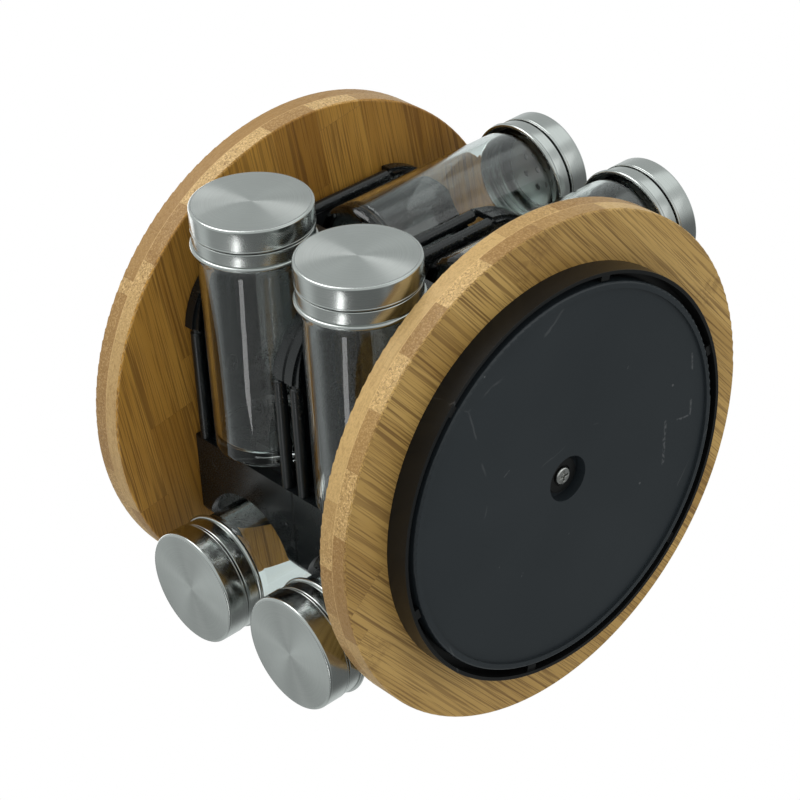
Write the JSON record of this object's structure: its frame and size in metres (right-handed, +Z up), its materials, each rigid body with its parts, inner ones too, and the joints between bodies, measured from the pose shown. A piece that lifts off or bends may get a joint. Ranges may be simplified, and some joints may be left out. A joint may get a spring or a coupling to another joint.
{
  "type": "spice carousel",
  "caption": "Revolving two-tier spice carousel: bamboo discs, moulded black frames holding glass sifter jars with steel lids, and a ball-bearing turntable base.",
  "frame": {"origin": "centre of the base plate's foot, where the carousel rests on the table", "axes": "+Z up along the axis that the carousel turns about; +X the way the lids of the jars named right point; +Y the way the lids of the jars named back point"},
  "size_m": [0.19, 0.19, 0.143],
  "materials": {
    "bamboo": "satin oiled bamboo ply",
    "frame_black": "satin moulded",
    "base_black": "fine matte",
    "jar_glass": "clear",
    "jar_steel": "spun brushed",
    "liner_white": "soft foam",
    "screw_steel": "bright zinc",
    "screw_black": "black oxide",
    "ball_steel": "polished",
    "cage_nylon": "natural nylon"
  },
  "bodies": {
    "base": {"base_plate": "base_black", "pivot_washer": "base_black"},
    "carousel": {"turntable_ring": "base_black", "ring_screws": "screw_steel", "pivot_screw": "screw_steel", "bottom_disc": "bamboo", "tie_screws": "screw_steel", "lower_core": "frame_black", "lower_rails": "frame_black", "upper_core": "frame_black", "upper_rails": "frame_black", "top_disc_screws": "screw_black", "top_disc": "bamboo", "bay_lower_right": "frame_black", "bay_lower_back": "frame_black", "bay_lower_left": "frame_black", "bay_lower_front": "frame_black", "bay_upper_right": "frame_black", "bay_upper_back": "frame_black", "bay_upper_left": "frame_black", "bay_upper_front": "frame_black"},
    "bearing": {"bearing_cage": "cage_nylon", "bearing_balls": "ball_steel"},
    "jar_body_lower_right": {"jar_lower_right": "jar_glass"},
    "sifter_body_lower_right": {"sifter_lower_right": "jar_steel"},
    "lid_body_lower_right": {"lid_lower_right": "jar_steel", "liner_lower_right": "liner_white"},
    "jar_body_lower_back": {"jar_lower_back": "jar_glass"},
    "sifter_body_lower_back": {"sifter_lower_back": "jar_steel"},
    "lid_body_lower_back": {"lid_lower_back": "jar_steel", "liner_lower_back": "liner_white"},
    "jar_body_lower_left": {"jar_lower_left": "jar_glass"},
    "sifter_body_lower_left": {"sifter_lower_left": "jar_steel"},
    "lid_body_lower_left": {"lid_lower_left": "jar_steel", "liner_lower_left": "liner_white"},
    "jar_body_lower_front": {"jar_lower_front": "jar_glass"},
    "sifter_body_lower_front": {"sifter_lower_front": "jar_steel"},
    "lid_body_lower_front": {"lid_lower_front": "jar_steel", "liner_lower_front": "liner_white"},
    "jar_body_upper_right": {"jar_upper_right": "jar_glass"},
    "sifter_body_upper_right": {"sifter_upper_right": "jar_steel"},
    "lid_body_upper_right": {"lid_upper_right": "jar_steel", "liner_upper_right": "liner_white"},
    "jar_body_upper_back": {"jar_upper_back": "jar_glass"},
    "sifter_body_upper_back": {"sifter_upper_back": "jar_steel"},
    "lid_body_upper_back": {"lid_upper_back": "jar_steel", "liner_upper_back": "liner_white"},
    "jar_body_upper_left": {"jar_upper_left": "jar_glass"},
    "sifter_body_upper_left": {"sifter_upper_left": "jar_steel"},
    "lid_body_upper_left": {"lid_upper_left": "jar_steel", "liner_upper_left": "liner_white"},
    "jar_body_upper_front": {"jar_upper_front": "jar_glass"},
    "sifter_body_upper_front": {"sifter_upper_front": "jar_steel"},
    "lid_body_upper_front": {"lid_upper_front": "jar_steel", "liner_upper_front": "liner_white"}
  },
  "joints": [
    {"name": "carousel_spin", "type": "hinge", "parent": "base", "child": "carousel", "pos_m": [0, 0, 0], "axis": [0, 0, 1], "continuous": true},
    {"name": "bearing_roll", "type": "hinge", "parent": "base", "child": "bearing", "pos_m": [0, 0, 0], "axis": [0, 0, 1], "continuous": true},
    {"name": "jar_slide_lower_right", "type": "slide", "parent": "carousel", "child": "jar_body_lower_right", "axis": [1, 0, 0], "range_m": [0, 0.1]},
    {"name": "sifter_slide_lower_right", "type": "slide", "parent": "jar_body_lower_right", "child": "sifter_body_lower_right", "axis": [1, 0, 0], "range_m": [0, 0.04]},
    {"name": "lid_slide_lower_right", "type": "slide", "parent": "sifter_body_lower_right", "child": "lid_body_lower_right", "axis": [1, 0, 0], "range_m": [0, 0.03]},
    {"name": "jar_slide_lower_back", "type": "slide", "parent": "carousel", "child": "jar_body_lower_back", "axis": [0, 1, 0], "range_m": [0, 0.1]},
    {"name": "sifter_slide_lower_back", "type": "slide", "parent": "jar_body_lower_back", "child": "sifter_body_lower_back", "axis": [0, 1, 0], "range_m": [0, 0.04]},
    {"name": "lid_slide_lower_back", "type": "slide", "parent": "sifter_body_lower_back", "child": "lid_body_lower_back", "axis": [0, 1, 0], "range_m": [0, 0.03]},
    {"name": "jar_slide_lower_left", "type": "slide", "parent": "carousel", "child": "jar_body_lower_left", "axis": [-1, 0, 0], "range_m": [0, 0.1]},
    {"name": "sifter_slide_lower_left", "type": "slide", "parent": "jar_body_lower_left", "child": "sifter_body_lower_left", "axis": [-1, 0, 0], "range_m": [0, 0.04]},
    {"name": "lid_slide_lower_left", "type": "slide", "parent": "sifter_body_lower_left", "child": "lid_body_lower_left", "axis": [-1, 0, 0], "range_m": [0, 0.03]},
    {"name": "jar_slide_lower_front", "type": "slide", "parent": "carousel", "child": "jar_body_lower_front", "axis": [0, -1, 0], "range_m": [0, 0.1]},
    {"name": "sifter_slide_lower_front", "type": "slide", "parent": "jar_body_lower_front", "child": "sifter_body_lower_front", "axis": [0, -1, 0], "range_m": [0, 0.04]},
    {"name": "lid_slide_lower_front", "type": "slide", "parent": "sifter_body_lower_front", "child": "lid_body_lower_front", "axis": [0, -1, 0], "range_m": [0, 0.03]},
    {"name": "jar_slide_upper_right", "type": "slide", "parent": "carousel", "child": "jar_body_upper_right", "axis": [1, 0, 0], "range_m": [0, 0.1]},
    {"name": "sifter_slide_upper_right", "type": "slide", "parent": "jar_body_upper_right", "child": "sifter_body_upper_right", "axis": [1, 0, 0], "range_m": [0, 0.04]},
    {"name": "lid_slide_upper_right", "type": "slide", "parent": "sifter_body_upper_right", "child": "lid_body_upper_right", "axis": [1, 0, 0], "range_m": [0, 0.03]},
    {"name": "jar_slide_upper_back", "type": "slide", "parent": "carousel", "child": "jar_body_upper_back", "axis": [0, 1, 0], "range_m": [0, 0.1]},
    {"name": "sifter_slide_upper_back", "type": "slide", "parent": "jar_body_upper_back", "child": "sifter_body_upper_back", "axis": [0, 1, 0], "range_m": [0, 0.04]},
    {"name": "lid_slide_upper_back", "type": "slide", "parent": "sifter_body_upper_back", "child": "lid_body_upper_back", "axis": [0, 1, 0], "range_m": [0, 0.03]},
    {"name": "jar_slide_upper_left", "type": "slide", "parent": "carousel", "child": "jar_body_upper_left", "axis": [-1, 0, 0], "range_m": [0, 0.1]},
    {"name": "sifter_slide_upper_left", "type": "slide", "parent": "jar_body_upper_left", "child": "sifter_body_upper_left", "axis": [-1, 0, 0], "range_m": [0, 0.04]},
    {"name": "lid_slide_upper_left", "type": "slide", "parent": "sifter_body_upper_left", "child": "lid_body_upper_left", "axis": [-1, 0, 0], "range_m": [0, 0.03]},
    {"name": "jar_slide_upper_front", "type": "slide", "parent": "carousel", "child": "jar_body_upper_front", "axis": [0, -1, 0], "range_m": [0, 0.1]},
    {"name": "sifter_slide_upper_front", "type": "slide", "parent": "jar_body_upper_front", "child": "sifter_body_upper_front", "axis": [0, -1, 0], "range_m": [0, 0.04]},
    {"name": "lid_slide_upper_front", "type": "slide", "parent": "sifter_body_upper_front", "child": "lid_body_upper_front", "axis": [0, -1, 0], "range_m": [0, 0.03]}
  ],
  "couplings": [
    {"joint": "bearing_roll", "follows": "carousel_spin", "ratio": 0.5}
  ]
}
